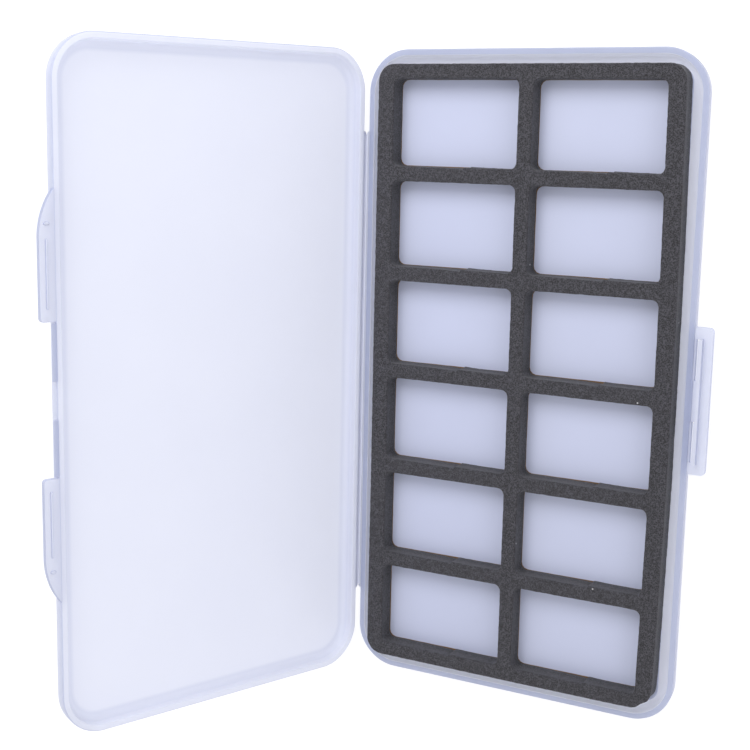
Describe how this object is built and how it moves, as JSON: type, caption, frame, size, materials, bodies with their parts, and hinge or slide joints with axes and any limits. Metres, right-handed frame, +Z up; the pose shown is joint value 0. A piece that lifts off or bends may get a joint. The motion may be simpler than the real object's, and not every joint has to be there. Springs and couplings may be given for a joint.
{
  "type": "wet palette",
  "caption": "Slim folding palette case with a foam well grid in the base, a living hinge and a snap latch.",
  "frame": {"origin": "centre of the base's flat underside", "axes": "+Z up out of the base, +X from the hinge to the latch, +Y along the hinge"},
  "size_m": [0.1478, 0.1864, 0.1014],
  "materials": {
    "case_plastic": "moulded natural polypropylene, milky and translucent, satin",
    "hinge_plastic": "polypropylene rolled thin, milky and translucent",
    "liner": "smooth white plastic sheet",
    "adhesive": "thin tacky film, brown at its edge",
    "foam": "fine-celled charcoal foam, die-cut"
  },
  "bodies": {
    "base": {"base_tray": "case_plastic", "base_latch_tab": "case_plastic", "hinge_film": "hinge_plastic", "liner_sheet": "liner", "foam_adhesive": "adhesive", "foam_grid": "foam"},
    "lid": {"lid_shell": "case_plastic", "lid_latch_beads": "case_plastic", "lid_thumb_tab_upper": "case_plastic", "lid_thumb_tab_lower": "case_plastic"}
  },
  "joints": [
    {"name": "lid_hinge", "type": "hinge", "parent": "base", "child": "lid", "pos_m": [-0.0506, 0, 0.00475], "axis": [0, -1, 0], "range_deg": [-112.6, 67.4], "deforming": ["hinge_film"]}
  ]
}
